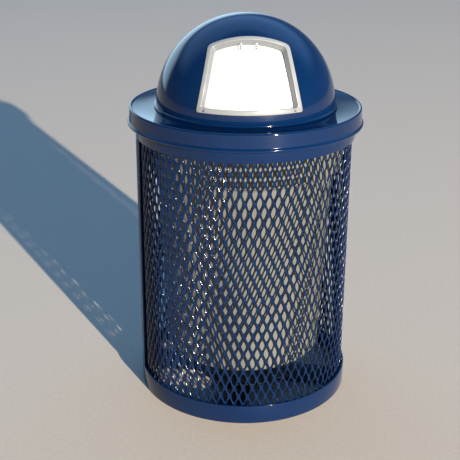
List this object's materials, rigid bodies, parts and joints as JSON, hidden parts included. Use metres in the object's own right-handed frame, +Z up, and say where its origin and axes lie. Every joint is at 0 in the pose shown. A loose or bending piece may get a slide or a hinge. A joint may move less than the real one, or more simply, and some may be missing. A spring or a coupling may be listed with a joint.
{
  "type": "waste receptacle",
  "caption": "Round expanded-metal waste receptacle with a lift-off domed lid, a spring-closed push door and a lift-out plastic liner.",
  "frame": {"origin": "on the ground at the middle of the base", "axes": "+Z up, -Y to the front, where the push door is, +X to the right seen from the front"},
  "size_m": [0.6526, 0.6526, 1.081],
  "materials": {
    "coated": "glossy dark blue coating",
    "liner": "matt light grey-tan",
    "frame": "satin off-white",
    "door": "satin white",
    "zinc": "zinc plated",
    "rubber": "matt black"
  },
  "bodies": {
    "receptacle": {"wall_sheet_front": "coated", "wall_sheet_back": "coated", "seam_strap_left": "coated", "seam_strap_right": "coated", "bottom_band": "coated", "top_band": "coated", "rim_ring": "coated", "base_bar_long": "coated", "base_bar_front": "coated", "base_bar_back": "coated", "anchor_plate": "coated"},
    "liner": {"liner": "liner"},
    "lid": {"lid_ring": "coated", "dome": "coated", "dome_clip_1": "zinc", "dome_clip_2": "zinc", "dome_clip_3": "zinc", "dome_clip_4": "zinc", "clip_rivet_1": "zinc", "clip_rivet_2": "zinc", "clip_rivet_3": "zinc", "clip_rivet_4": "zinc", "frame_hoop": "frame", "frame_sill": "frame", "frame_rivet_left": "zinc", "frame_rivet_right": "zinc", "door_stop_left": "rubber", "door_stop_right": "rubber", "hinge_bracket": "zinc", "hinge_pin": "zinc", "hinge_rivet_left": "zinc", "hinge_rivet_right": "zinc", "door_spring_left": "zinc", "door_spring_right": "zinc"},
    "door": {"door_panel": "door", "hinge_strap_left": "door", "hinge_strap_right": "door", "strap_rivet_left_upper": "zinc", "strap_rivet_left_lower": "zinc", "strap_rivet_right_upper": "zinc", "strap_rivet_right_lower": "zinc"}
  },
  "joints": [
    {"name": "liner_lift", "type": "slide", "parent": "receptacle", "child": "liner", "axis": [0, 0, 1], "range_m": [0, 0.75]},
    {"name": "lid_lift", "type": "slide", "parent": "liner", "child": "lid", "axis": [0, 0, 1], "range_m": [0, 0.15]},
    {"name": "door_swing", "type": "hinge", "parent": "lid", "child": "door", "pos_m": [0, -0.11805, 1.02292], "axis": [1, 0, 0], "range_deg": [0, 75], "stiffness_Nm_per_rad": 0.8, "springref_deg": -68.75, "deforming": ["door_spring_left", "door_spring_right"]}
  ]
}
